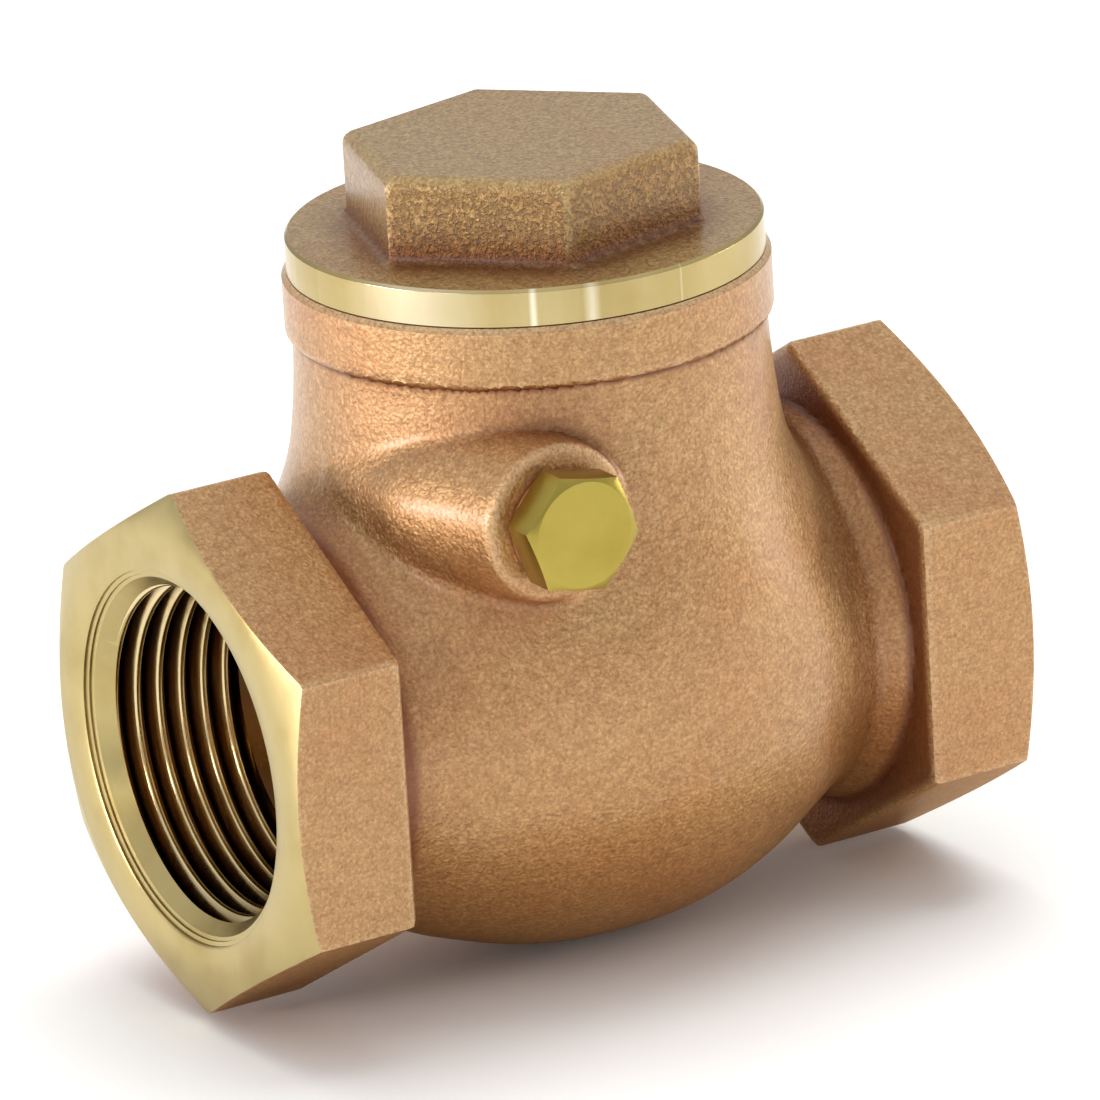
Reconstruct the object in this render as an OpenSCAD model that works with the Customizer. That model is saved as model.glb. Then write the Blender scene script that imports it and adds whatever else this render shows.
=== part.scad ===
// Threaded swing check valve, in bronze and brass.
// +X runs with the flow, +Z up the bonnet, and the side plug faces -Y.
// The origin is the centre of the inlet port's face.

/* [Ports] */
// Length from port face to port face
face_to_face = 76; // [75:0.5:78]
// Size of the wrench hexagons across their flats
hex_flats = 42; // [41.5:0.25:43]
// Length of each wrench hexagon
hex_length = 11.2; // [10:0.2:12]
// Radius of the port thread's crests, 1 inch pipe thread
thread_crest_r = 14.6; // [14.4:0.1:14.8]
// How far each port thread goes in
port_depth = 17; // [16.8:0.1:17.5]
// Radius of the countersink at each port's mouth
mouth_r = 16.6; // [16:0.1:17]

/* [Chamber] */
// Distance from the inlet face to the bonnet's axis
bonnet_x = 38.3; // [38:0.1:38.6]
// Largest radius of the round belly
belly_r = 24.6; // [24.2:0.1:25.5]
// Radius of the belly where it meets the hexagons
belly_end_r = 18.3; // [18:0.1:19]
// Thickness of the cast wall
wall = 2.6; // [2.3:0.1:2.8]
// Radius of the waterway through the seat
seat_bore_r = 11.5; // [11:0.1:11.8]
// Outer radius of the raised seat
seat_r = 13.2; // [12.8:0.1:13.4]
// Distance from the inlet face to the sealing face of the seat
seat_x = 26; // [25.8:0.1:26]
// Height of the raised seat
seat_rise = 1; // [0.8:0.1:1.2]

/* [Neck] */
// Outer radius of the neck under its collar
neck_r = 21; // [20.8:0.1:21.4]
// Outer radius of the collar at the top of the neck
collar_r = 21.6; // [21.5:0.05:22.4]
// Height of the collar's lower edge above the port axis
collar_z = 32.5; // [32:0.1:33]
// Height of the top of the neck
neck_top = 38; // [37.8:0.1:38]
// Radius of the bore that takes the bonnet
bonnet_bore_r = 17.6; // [17.56:0.02:17.6]

/* [Bonnet] */
// Radius of the flange
flange_r = 21.1; // [20.8:0.1:21.6]
// Thickness of the flange
flange_h = 3.3; // [3:0.1:3.6]
// Size of the bonnet's hexagon across its flats
bonnet_flats = 28.2; // [26:0.1:29]
// Height of the bonnet's hexagon
bonnet_hex_h = 7.7; // [6.5:0.1:8]
// Turn of the bonnet's hexagon about its axis
bonnet_turn = 13; // [0:1:59]
// Outer radius of the threaded skirt
skirt_r = 17.5; // [17.5:0.01:17.52]
// Inner radius of the threaded skirt
skirt_bore_r = 13; // [12.5:0.1:13.5]
// Length of the threaded skirt
skirt_length = 8; // [7:0.1:8]
// Thickness of the bonnet gasket
gasket_h = 0.8; // [0.6:0.1:1]

/* [Hinge] */
// Distance from the inlet face to the hinge pin's axis
hinge_x = 27.2; // [27:0.1:27.4]
// Height of the hinge pin above the port axis
hinge_z = 21.3; // [21.2:0.1:21.5]
// Radius of the hinge pin
pin_r = 2; // [1.8:0.05:2.1]
// Running gap round the hinge pin
pin_gap = 0.05; // [0.03:0.01:0.08]
// Outer radius of the hanger's knuckle
knuckle_r = 4; // [3.7:0.1:4]
// Length of the hanger's knuckle
knuckle_w = 18; // [17:0.1:18.2]
// Thickness of the hanger's arm
arm_t = 3; // [2.8:0.05:3]
// Width of the hanger's arm
arm_w = 8; // [7:0.1:9]
// Outer radius of the hanger's eye
eye_r = 6.5; // [6:0.1:7]

/* [Disc] */
// Outer radius of the disc holder
holder_r = 13.8; // [13.7:0.05:13.9]
// Outer radius of the soft seat disc
seat_disc_r = 13; // [12.9:0.05:13.05]
// Thickness of the soft seat disc
seat_disc_t = 2; // [1.8:0.1:2]
// Gap between the closed seat disc and the seat
seat_gap = 0.05; // [0.03:0.01:0.08]
// Thickness of the disc holder's plate
holder_t = 1.95; // [1.8:0.05:2]
// Radius of the stem that turns in the hanger's eye
stem_r = 4; // [3.8:0.05:4.1]
// Radius of the threaded end of the stem
stem_thread_r = 3; // [2.8:0.05:3.1]
// Radius of the stud that holds the seat disc
stud_r = 2.5; // [2.3:0.05:2.6]
// Hanger nut across its flats
hanger_nut_flats = 10; // [9.5:0.1:10.5]
// Seat disc nut across its flats
seat_nut_flats = 8; // [7.5:0.1:8.5]

/* [Side plug] */
// Side plug's hexagon across its flats
plug_flats = 9.9; // [9:0.1:10]
// Height of the side plug's hexagon
plug_hex_h = 3.6; // [3:0.1:4]
// Turn of the side plug's hexagon about its axis
plug_turn = 49; // [0:1:59]
// Radius of the side plug's thread
plug_r = 4; // [3.9:0.02:4.04]
// Distance from the port axis to the boss's face
boss_y = 21.9; // [21.5:0.1:22.2]
// Radius of the boss at its face
boss_r = 6.95; // [6.6:0.05:7.2]
// Thickness of the washer under the side plug
plug_washer_t = 0.5; // [0.4:0.1:0.6]

/* [Hidden] */
$fn = 96;

cut = 1;                  // how far a cutter runs past the face it opens
fit_gap = 0.02;           // radial gap between a stud and its nut
screw_gap = 0.1;          // radial gap of the plain cylinders that stand for a thread
side_gap = 0.15;          // end play of the hanger's eye on its stem
countersink = 1;          // depth of the countersink at each port
bevel_angle = 21;         // angle at which the hexagons' corners are turned off

half_span = 24;           // half the length of the belly's curve
belly_rise = belly_r - belly_end_r;
belly_arc_r = (half_span * half_span + belly_rise * belly_rise) / (2 * belly_rise);
belly_steps = 16;
chamber_half = 20;        // half the length of the chamber's curve
seat_wall_x = seat_x - seat_rise;
port_taper = 3;           // length of the cone between thread and waterway

flare_r = 24;             // radius of the neck where it runs into the belly
flare_z = 4;
flare_top = 28;
flare_steps = 8;
dome_floor = 15.5;        // height at which the neck's hollow starts
dome_r = 20.3;            // radius of the neck's hollow at its floor
dome_wall_x = 21;         // flat wall of the hollow on the inlet side
skirt_bottom = neck_top + 0.1 - skirt_length;

lug_r = 4.8;              // cast lug round the hinge pin's blind end
plug_lug_r = 6.2;         // cast lug round the side plug
lug_y = knuckle_w / 2 + 0.3;
boss_root_r = 10.8;       // radius of the boss deep in the neck
plug_end_y = 16.9;        // inner end of the side plug
pin_near_y = 16.6;        // pin's end at the side plug
pin_far_y = 16.2;         // pin's end in its blind hole
plug_face = boss_y + plug_washer_t;

flange_z = neck_top + 0.1;
gasket_r = 20;
holder_front = seat_x + seat_gap + seat_disc_t;
holder_back = holder_front + holder_t;
arm_front = holder_back + side_gap;
arm_back = arm_front + arm_t;
washer_front = arm_back + side_gap;
washer_t = 0.8;
hanger_nut_t = 3;
seat_washer_t = 1;
seat_nut_t = 2.6;
stud_end = 0.4;           // thread that shows past each nut

// Radius of the belly at a distance from the bonnet's axis
function belly_at(x) = belly_r - belly_arc_r + sqrt(belly_arc_r * belly_arc_r - x * x);

// Radius of the neck at a height, blending from the belly to the straight neck
function neck_at(t) = neck_r + (flare_r - neck_r) * (1 + cos(180 * t)) / 2;

// Radius of a hexagon's corners from its size across flats
function corner_r(flats) = flats / sqrt(3);

module along_x() { rotate([0, 90, 0]) children(); }

module along_y() { rotate([90, 0, 0]) children(); }

// Round stock along X from one station to the next
module rod_x(from, to, r) {
    translate([from, 0, 0]) along_x() cylinder(h = to - from, r = r);
}

// Ring along X
module ring_x(from, to, r, bore) {
    difference() {
        rod_x(from, to, r);
        rod_x(from - cut, to + cut, bore);
    }
}

// Hexagonal nut along X
module nut_x(from, to, flats, bore) {
    bevel_r = corner_r(flats) - 0.2;
    difference() {
        translate([from, 0, 0]) along_x() intersection() {
            cylinder(h = to - from, r = corner_r(flats), $fn = 6);
            cylinder(h = to - from, r1 = bevel_r + (to - from) * 2, r2 = bevel_r);
            cylinder(h = to - from, r1 = bevel_r, r2 = bevel_r + (to - from) * 2);
        }
        rod_x(from - cut, to + cut, bore);
    }
}

// Wrench hexagon of a port, with its corners turned off at the face
module port_hex() {
    bevel_r = hex_flats / 2 - 0.1;
    along_x() intersection() {
        cylinder(h = hex_length, r = corner_r(hex_flats), $fn = 6);
        cylinder(h = hex_length, r1 = bevel_r, r2 = bevel_r + hex_length / tan(bevel_angle));
    }
}

// What is cut away for a port: countersink and bore, straight at the thread's crests
module port_cut() {
    translate([-cut, 0, 0]) along_x() cylinder(h = cut + 0.01, r = mouth_r);
    along_x() cylinder(h = countersink, r1 = mouth_r, r2 = thread_crest_r);
    rod_x(-cut, port_depth, thread_crest_r);
}

// Belly: a round casting along the flow with an arc for its outline
module belly(inset, reach, from_x, to_x) {
    stations = [
        for (i = [0 : belly_steps]) let (x = -reach + 2 * reach * i / belly_steps)
            [belly_at(x) - inset, bonnet_x + x]
    ];
    intersection() {
        along_x() rotate_extrude() polygon(concat(
            [[0, from_x], [stations[0][0], from_x]],
            stations,
            [[stations[belly_steps][0], to_x], [0, to_x]]
        ));
        rod_x(from_x, to_x, belly_r + cut);
    }
}

// Neck, from inside the belly up to its collar
module neck() {
    translate([bonnet_x, 0, 0]) rotate_extrude() polygon(concat(
        [[0, 0], [flare_r, 0]],
        [
            for (i = [0 : flare_steps]) let (t = i / flare_steps)
                [neck_at(t), flare_z + t * (flare_top - flare_z)]
        ],
        [
            [neck_r, collar_z - 0.2], [collar_r, collar_z],
            [collar_r, neck_top], [0, neck_top]
        ]
    ));
}

// Hollow of the neck, open at the top for the bonnet
module dome() {
    intersection() {
        translate([bonnet_x, 0, 0]) rotate_extrude() polygon([
            [0, dome_floor], [dome_r, dome_floor], [dome_r, dome_floor + 2],
            [bonnet_bore_r, flare_top], [0, flare_top]
        ]);
        translate([dome_wall_x, -dome_r - cut, dome_floor - cut])
            cube([2 * dome_r + cut, 2 * (dome_r + cut), neck_top]);
    }
    translate([bonnet_x, 0, flare_top - 0.5])
        cylinder(h = neck_top + cut - flare_top + 0.5, r = bonnet_bore_r);
    translate([bonnet_x, 0, neck_top - gasket_h + 0.1])
        cylinder(h = gasket_h + cut, r = gasket_r + 0.2);
}

// Cast lugs that carry the hinge pin inside the neck
module lugs() {
    translate([hinge_x, -lug_y, hinge_z]) along_y()
        cylinder(h = boss_y - 2 - lug_y, r = plug_lug_r);
    translate([hinge_x, pin_far_y - 0.3, hinge_z]) along_y()
        cylinder(h = pin_far_y - 0.3 - lug_y, r = lug_r);
}

// Boss on the outside of the neck that takes the side plug, widening into the neck
module boss() {
    translate([hinge_x, 0, hinge_z]) along_y() rotate_extrude() polygon([
        [0, 1], [boss_root_r, 1], [boss_r + 3.2, boss_y - 9], [boss_r, boss_y - 0.3],
        [boss_r, boss_y], [0, boss_y]
    ]);
}

module body() {
    color([0.72, 0.50, 0.38]) difference() {
        union() {
            difference() {
                union() {
                    port_hex();
                    translate([face_to_face, 0, 0]) mirror([1, 0, 0]) port_hex();
                    belly(0, half_span, hex_length - 0.5, face_to_face - hex_length + 0.5);
                    neck();
                    boss();
                }
                belly(wall, chamber_half, seat_wall_x, bonnet_x + chamber_half + 0.1);
                dome();
            }
            lugs();
            rod_x(seat_wall_x - 2, seat_x, seat_r);
        }
        port_cut();
        translate([face_to_face, 0, 0]) mirror([1, 0, 0]) port_cut();
        rod_x(0, seat_x + cut, seat_bore_r);
        translate([port_depth, 0, 0]) along_x()
            cylinder(h = port_taper, r1 = thread_crest_r, r2 = seat_bore_r);
        rod_x(bonnet_x + chamber_half, face_to_face, thread_crest_r);
        translate([hinge_x, pin_far_y + 0.2, hinge_z]) along_y()
            cylinder(h = pin_far_y + 0.2 + boss_y + cut, r = pin_r + pin_gap);
        translate([hinge_x, -plug_end_y + 0.2, hinge_z]) along_y()
            cylinder(h = boss_y - plug_end_y + 0.2 + cut, r = plug_r + screw_gap);
    }
}

module bonnet() {
    color([0.70, 0.52, 0.36]) translate([bonnet_x, 0, 0]) difference() {
        union() {
            translate([0, 0, skirt_bottom]) cylinder(h = skirt_length, r = skirt_r);
            translate([0, 0, flange_z]) cylinder(h = flange_h, r = flange_r);
            translate([0, 0, flange_z + flange_h]) rotate(bonnet_turn)
                cylinder(h = bonnet_hex_h, r = corner_r(bonnet_flats), $fn = 6);
        }
        translate([0, 0, skirt_bottom - cut])
            cylinder(h = skirt_length + cut + 1, r = skirt_bore_r);
    }
}

module bonnet_gasket() {
    color([0.30, 0.30, 0.28]) translate([bonnet_x, 0, flange_z - gasket_h]) difference() {
        cylinder(h = gasket_h, r = gasket_r);
        translate([0, 0, -cut]) cylinder(h = gasket_h + 2 * cut, r = skirt_r + 0.15);
    }
}

module side_plug() {
    bevel_r = plug_flats / 2;
    color([0.72, 0.65, 0.30]) translate([hinge_x, -plug_end_y, hinge_z]) along_y() {
        cylinder(h = plug_face - plug_end_y, r = plug_r);
        translate([0, 0, plug_face - plug_end_y]) rotate(plug_turn) intersection() {
            cylinder(h = plug_hex_h, r = corner_r(plug_flats), $fn = 6);
            cylinder(h = plug_hex_h, r1 = bevel_r + plug_hex_h / tan(30), r2 = bevel_r);
        }
    }
}

module plug_washer() {
    color([0.70, 0.40, 0.28]) translate([hinge_x, -boss_y, hinge_z]) along_y() difference() {
        cylinder(h = plug_washer_t, r = plug_flats / 2 + 0.2);
        translate([0, 0, -cut]) cylinder(h = plug_washer_t + 2 * cut, r = plug_r + 0.15);
    }
}

module hinge_pin() {
    color([0.75, 0.75, 0.74]) translate([hinge_x, pin_far_y, hinge_z]) along_y()
        cylinder(h = pin_far_y + pin_near_y, r = pin_r);
}

module disc_hanger() {
    color([0.74, 0.54, 0.38]) difference() {
        union() {
            translate([hinge_x, knuckle_w / 2, hinge_z]) along_y()
                cylinder(h = knuckle_w, r = knuckle_r);
            translate([0, arm_w / 2, 0]) along_y() linear_extrude(arm_w) polygon([
                [hinge_x, hinge_z], [hinge_x, hinge_z + knuckle_r - 0.05],
                [hinge_x + 2.2, hinge_z + 3.6], [arm_back, hinge_z - 1],
                [arm_back, 0], [arm_front, 0], [arm_front, hinge_z - knuckle_r]
            ]);
            rod_x(arm_front, arm_back, eye_r);
        }
        translate([hinge_x, knuckle_w / 2 + cut, hinge_z]) along_y()
            cylinder(h = knuckle_w + 2 * cut, r = pin_r + pin_gap);
        rod_x(arm_front - cut, arm_back + cut, stem_r + 0.08);
    }
}

module disc_holder() {
    color([0.74, 0.54, 0.38]) {
        rod_x(holder_front, holder_back, holder_r);
        ring_x(seat_x + 0.6, holder_front + 0.5, holder_r, seat_disc_r + 0.1);
        rod_x(holder_back - 0.5, washer_front, stem_r);
        rod_x(washer_front - 0.5, washer_front + washer_t + hanger_nut_t + 2 * stud_end,
            stem_thread_r);
        rod_x(seat_x + seat_gap - seat_washer_t - seat_nut_t - stud_end, holder_front + 0.5,
            stud_r);
    }
}

module seat_disc() {
    color([0.92, 0.91, 0.88])
        ring_x(seat_x + seat_gap, holder_front, seat_disc_r, stud_r + fit_gap);
}

module seat_disc_washer() {
    color([0.80, 0.68, 0.38])
        ring_x(seat_x + seat_gap - seat_washer_t, seat_x + seat_gap, 7.5, stud_r + fit_gap);
}

module seat_disc_nut() {
    nut_back = seat_x + seat_gap - seat_washer_t;
    color([0.80, 0.68, 0.38])
        nut_x(nut_back - seat_nut_t, nut_back, seat_nut_flats, stud_r + fit_gap);
}

module hanger_washer() {
    color([0.80, 0.68, 0.38])
        ring_x(washer_front, washer_front + washer_t, 6, stem_thread_r + fit_gap);
}

module hanger_nut() {
    nut_front = washer_front + washer_t;
    color([0.80, 0.68, 0.38])
        nut_x(nut_front, nut_front + hanger_nut_t, hanger_nut_flats, stem_thread_r + fit_gap);
}

body();
bonnet();
bonnet_gasket();
side_plug();
plug_washer();
hinge_pin();
disc_hanger();
disc_holder();
hanger_washer();
hanger_nut();
seat_disc();
seat_disc_washer();
seat_disc_nut();
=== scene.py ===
"""Looks of a threaded bronze swing check valve.

Lengths are millimetres in the row's frame: +X with the flow, +Z up the bonnet, the side
plug on -Y, and the origin at the centre of the inlet port's face. mesh_object() turns
them into metres. Castings are drawn as distance fields, meshed, and then machined with
booleans, so each cut face gets the finish of the tool that made it.
"""
import math

import bmesh
import bpy
import numpy as np
from mathutils import Matrix, Vector


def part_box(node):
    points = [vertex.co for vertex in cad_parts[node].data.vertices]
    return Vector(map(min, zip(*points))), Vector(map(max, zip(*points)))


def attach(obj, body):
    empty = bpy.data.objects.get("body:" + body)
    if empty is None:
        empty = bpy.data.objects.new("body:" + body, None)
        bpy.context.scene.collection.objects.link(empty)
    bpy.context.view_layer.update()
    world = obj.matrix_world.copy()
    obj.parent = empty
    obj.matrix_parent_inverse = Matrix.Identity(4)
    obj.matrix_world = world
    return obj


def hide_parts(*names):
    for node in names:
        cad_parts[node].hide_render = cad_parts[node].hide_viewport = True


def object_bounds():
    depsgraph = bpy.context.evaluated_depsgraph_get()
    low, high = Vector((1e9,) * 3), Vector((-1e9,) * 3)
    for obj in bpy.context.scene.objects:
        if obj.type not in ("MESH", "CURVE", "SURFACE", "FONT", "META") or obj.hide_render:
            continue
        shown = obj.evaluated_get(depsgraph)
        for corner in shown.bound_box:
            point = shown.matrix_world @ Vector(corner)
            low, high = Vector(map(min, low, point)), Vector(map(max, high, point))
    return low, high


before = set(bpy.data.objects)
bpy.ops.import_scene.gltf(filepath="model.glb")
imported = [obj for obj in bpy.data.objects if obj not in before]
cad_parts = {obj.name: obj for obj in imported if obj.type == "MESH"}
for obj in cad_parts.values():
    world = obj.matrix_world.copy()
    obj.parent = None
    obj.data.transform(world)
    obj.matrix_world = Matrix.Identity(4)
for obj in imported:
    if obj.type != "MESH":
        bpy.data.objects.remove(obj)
cad_bounds = [list(corner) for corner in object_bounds()]

MM = 1000.0  # millimetres in a metre


def mm_box(node):
    """Lowest and highest corners of a CAD node, in millimetres."""
    low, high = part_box(node)
    return np.array(low) * MM, np.array(high) * MM


# ---- places from the frame

BODY_LOW, BODY_HIGH = mm_box("body")
BONNET_LOW, BONNET_HIGH = mm_box("bonnet")
PIN_LOW, PIN_HIGH = mm_box("hinge_pin")
PLUG_LOW, PLUG_HIGH = mm_box("side_plug")
WASHER_LOW, WASHER_HIGH = mm_box("plug_washer")
GASKET_LOW, GASKET_HIGH = mm_box("bonnet_gasket")
SEAT_DISC_LOW, SEAT_DISC_HIGH = mm_box("seat_disc")
HOLDER_LOW, HOLDER_HIGH = mm_box("disc_holder")
HANGER_LOW, HANGER_HIGH = mm_box("disc_hanger")

LENGTH = BODY_HIGH[0]
BELLY_R = -BODY_LOW[2]
NECK_TOP = BODY_HIGH[2]
AXIS_X = (BONNET_LOW[0] + BONNET_HIGH[0]) / 2
BONNET_TOP = BONNET_HIGH[2]
SKIRT_BOTTOM = BONNET_LOW[2]
FLANGE_R = (BONNET_HIGH[0] - BONNET_LOW[0]) / 2
FLANGE_BOTTOM = GASKET_HIGH[2]
HINGE_X = (PIN_LOW[0] + PIN_HIGH[0]) / 2
HINGE_Z = (PIN_LOW[2] + PIN_HIGH[2]) / 2
PIN_R = (PIN_HIGH[0] - PIN_LOW[0]) / 2
BOSS_Y = -WASHER_HIGH[1]

# ---- sizes of the castings

HEX_FLATS = 42.0
HEX_LENGTH = 11.2
HEX_BEVEL = math.radians(21)
HEX_EDGE = 0.7  # roundness of a hexagon's outer edges
HEX_SPARE = 1.5  # cast past each port's face, and turned off again
HEX_FILLET = 0.7
WALL = 2.6
CHAMBER_MID, CHAMBER_HALF = 42.8, 17.8  # along the flow
DOME_X = 21.0  # where the neck's hollow starts
SEAT_BORE_R, SEAT_R, SEAT_X = 11.5, 13.2, 26.0
RUN_OUT_R = 14.3  # of the chamber where it meets the outlet's bore
NECK_R = 20.97
NECK_FILLET = 5.0  # between neck and belly
COLLAR_R, COLLAR_Z = 21.57, 32.5
BOSS_R = 6.95
LUG_Y = 9.3  # inner faces of the pin's lugs
FLANGE_H = 3.3
BONNET_FLATS, BONNET_TURN = 28.15, 13.0
BONNET_EDGE = 1.2  # roundness of the bonnet head's top edge
HANGER_PLATE = 2.96  # thickness of the hanger's arm and eye

# ---- sizes that are machined

PORT_PITCH = 25.4 / 11.5
PORT_CREST_R = 15.0
PORT_THREAD_H = 1.55
PORT_TAPER = 1 / 32
PORT_THREAD_START, PORT_THREAD_END = 2.1, 14.5
MOUTH_R = 17.05
CAP_PITCH = 2.0
CAP_THREAD_R, CAP_THREAD_H = 18.05, 1.05
NECK_TAP_R, NECK_TAP_H = 18.2, 1.0
SKIRT_BORE_R = 13.0
UNDERCUT_R = 16.8
RECESS_R = 20.2
PLUG_PITCH = 1.25
PLUG_THREAD_R, PLUG_TAP_R, PLUG_THREAD_H = 4.0, 4.15, 0.6
PLUG_FLATS, PLUG_TURN = 9.9, 41.0
STEM_R, STUD_R = 3.0, 2.5
EYE_BORE_R = 4.08
LUG_GAP, KNUCKLE_GAP = 0.05, 0.06  # round the pin
WASHER_BORE_R, WASHER_R = 4.15, 5.0
GASKET_BORE_R, GASKET_R = 17.8, 20.0

BODY_GRID, BONNET_GRID, HANGER_GRID = 0.55, 0.45, 0.3  # spacing of a casting's mesh

# the lines that things are turned round: an axis and a point on it
FLOW_LINE = ("x", (0, 0, 0))
PIN_LINE = ("y", (HINGE_X, 0, HINGE_Z))
BONNET_LINE = ("z", (AXIS_X, 0, 0))


# ---- distance fields

def smooth_union(a, b, k):
    """Union of two fields with a fillet of about k."""
    h = np.clip(0.5 + 0.5 * (b - a) / k, 0, 1)
    return b * (1 - h) + a * h - k * h * (1 - h)


def smooth_cut(a, b, k):
    """Field a with b taken away, and the edge between them rounded by about k."""
    return -smooth_union(-a, b, k)


def distance(a, b):
    """Length of a flat vector. On a grid this is faster than np.hypot."""
    return np.sqrt(a * a + b * b)


def hexagon(u, v, flats):
    """Distance to a hexagon with a pair of flats across v and a pair of corners on u."""
    kx, ky, kz = -math.sqrt(3) / 2, 0.5, 1 / math.sqrt(3)
    u, v = np.abs(u), np.abs(v)
    fold = 2 * np.minimum(kx * u + ky * v, 0)
    u, v = u - fold * kx, v - fold * ky
    half = flats / 2
    u = u - np.clip(u, -kz * half, kz * half)
    v = v - half
    return np.hypot(u, v) * np.sign(v)


def prism(outline, along, half, edge):
    """Distance to an outline drawn out to half on either side, its edges rounded."""
    a, b = outline + edge, np.abs(along) - half + edge
    return np.hypot(np.maximum(a, 0), np.maximum(b, 0)) + np.minimum(np.maximum(a, b), 0) - edge


def through_points(t, points):
    """Smooth curve (Catmull-Rom) through (t, value) points, held flat beyond its ends."""
    ts, vs = np.array(points, float).T
    slopes = np.gradient(vs, ts)
    t = np.clip(t, ts[0], ts[-1])
    i = np.clip(np.searchsorted(ts, t, side="right") - 1, 0, len(ts) - 2)
    w = ts[i + 1] - ts[i]
    s = (t - ts[i]) / w
    return (
        (1 + 2 * s) * (1 - s) ** 2 * vs[i] + s * (1 - s) ** 2 * w * slopes[i]
        + s * s * (3 - 2 * s) * vs[i + 1] + s * s * (s - 1) * w * slopes[i + 1]
    )


# radius of the belly by distance from the bonnet's axis, with a valley and a lip at the outlet
BELLY = [
    (-27.5, 18.6), (-22.5, 18.8), (-16.0, 21.4), (-8.0, 23.85), (0.0, BELLY_R - 0.05),
    (8.0, 23.8), (15.0, 21.4), (19.5, 19.0), (22.4, 17.55), (23.9, 17.3), (25.1, 17.95),
    (25.9, 18.35), (27.5, 18.3),
]
# radius of the neck by height
NECK = [(-16, 8.0), (-10, 14.5), (-4, 19.6), (2, 22.3), (8, 23.2), (14, 22.9), (20, 22.1),
        (26, 21.3), (31, NECK_R), (39, NECK_R)]
# radius of the plug's boss by distance from the port axis
BOSS = [(0, 10.9), (7, 10.7), (11, 10.45), (13.2, 9.85), (15.6, 9.0), (18.3, 8.05),
        (20.8, 7.3), (22, BOSS_R)]
# radius of the neck's hollow by height
DOME = [(15.5, 20.2), (18, 20.2), (27, 17.6), (29, 17.0), (50, 17.0)]
# half the width of the hanger's arm by height
ARM = [(-1, 4.6), (6, 3.3), (14, 3.6), (21, 5.6)]


def body_outside(x, y, z):
    """Outside of the body as cast."""
    dx = x - AXIS_X
    across, around = distance(y, z), distance(dx, y)
    belly = np.maximum((across - through_points(dx, BELLY)) * 0.92, np.abs(dx) - 27)
    neck = np.maximum(around - through_points(z, NECK), np.abs(z - 12) - NECK_TOP + 10.5)
    shape = smooth_union(belly, neck, NECK_FILLET)
    collar_top = NECK_TOP + 1.5
    collar_mid = (collar_top + COLLAR_Z) / 2
    collar = prism(around - COLLAR_R, z - collar_mid, collar_top - collar_mid, 0.45)
    shape = smooth_union(shape, collar, 0.35)
    off_axis = distance(x - HINGE_X, z - HINGE_Z)
    above = np.clip((z - HINGE_Z) / np.maximum(off_axis, 1), 0, 1)
    spread = (through_points(-y, BOSS) - BOSS_R) * (1 - 0.5 * above * above * (3 - 2 * above))
    boss = prism((off_axis - BOSS_R - spread) * 0.93, y + BOSS_Y / 2, BOSS_Y / 2, 0.6)
    shape = smooth_union(shape, boss, 0.9 - 0.4 * above)
    outline = hexagon(z, y, HEX_FLATS)
    half, spare = HEX_LENGTH / 2, HEX_SPARE / 2
    hex_in = prism(outline, x - half + spare, half + spare, HEX_EDGE)
    hex_out = prism(outline, x - LENGTH + half - spare, half + spare, HEX_EDGE)
    return smooth_union(smooth_union(shape, hex_in, HEX_FILLET), hex_out, HEX_FILLET)


def body_hollow(x, y, z):
    """Hollow of the body as cast: the chamber round the disc and the neck above it."""
    dx = x - AXIS_X
    across, around = distance(y, z), distance(dx, y)
    inside = through_points(dx, [(p, r - WALL if p < 20 else RUN_OUT_R) for p, r in BELLY])
    chamber = np.maximum(across - inside, np.abs(x - CHAMBER_MID) - CHAMBER_HALF)
    dome = np.maximum(around - through_points(z, DOME), DOME[0][0] - z)
    dome = np.maximum(dome, np.where(z < 29, DOME_X - x, -9.0))
    hollow = smooth_union(chamber, dome, 1.6)
    off_axis = distance(x - HINGE_X, z - HINGE_Z)
    lugs = np.maximum(off_axis - np.where(y < 0, 6.2, 4.8), LUG_Y - np.abs(y))
    seat = np.maximum(across - SEAT_R - 0.2, x - SEAT_X - 0.4)
    return smooth_cut(smooth_cut(hollow, lugs, 1.2), seat, 0.6)


def body_casting(x, y, z):
    """The body as it leaves the sand."""
    return smooth_cut(body_outside(x, y, z), body_hollow(x, y, z), 0.5)


def bonnet_casting(x, y, z):
    """The bonnet as it leaves the sand: hexagon, flange and the plug that becomes its skirt."""
    u, v = x - AXIS_X, y
    turn = math.radians(BONNET_TURN)
    along = u * math.cos(turn) + v * math.sin(turn)
    side = v * math.cos(turn) - u * math.sin(turn)
    around = distance(u, v)
    flange_top = FLANGE_BOTTOM + FLANGE_H
    head_mid = (BONNET_TOP + flange_top - 3) / 2
    outline = hexagon(along, side, BONNET_FLATS)
    head = prism(outline, z - head_mid, BONNET_TOP - head_mid, BONNET_EDGE)
    crown = 0.5 * np.clip(1 - around / 19, 0, 1)
    flange = np.maximum(around - FLANGE_R - 0.8, z - flange_top - crown)
    flange = np.maximum(flange, FLANGE_BOTTOM - 0.8 - z)
    hollow = np.maximum(around - 12.9, z - NECK_TOP + 1)
    skirt = np.maximum(around - 15.5, np.maximum(SKIRT_BOTTOM + 0.6 - z, z - flange_top + 1.6))
    shape = smooth_union(smooth_union(flange, head, 0.7), skirt, 0.5)
    return smooth_cut(shape, hollow, 0.8)


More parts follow.
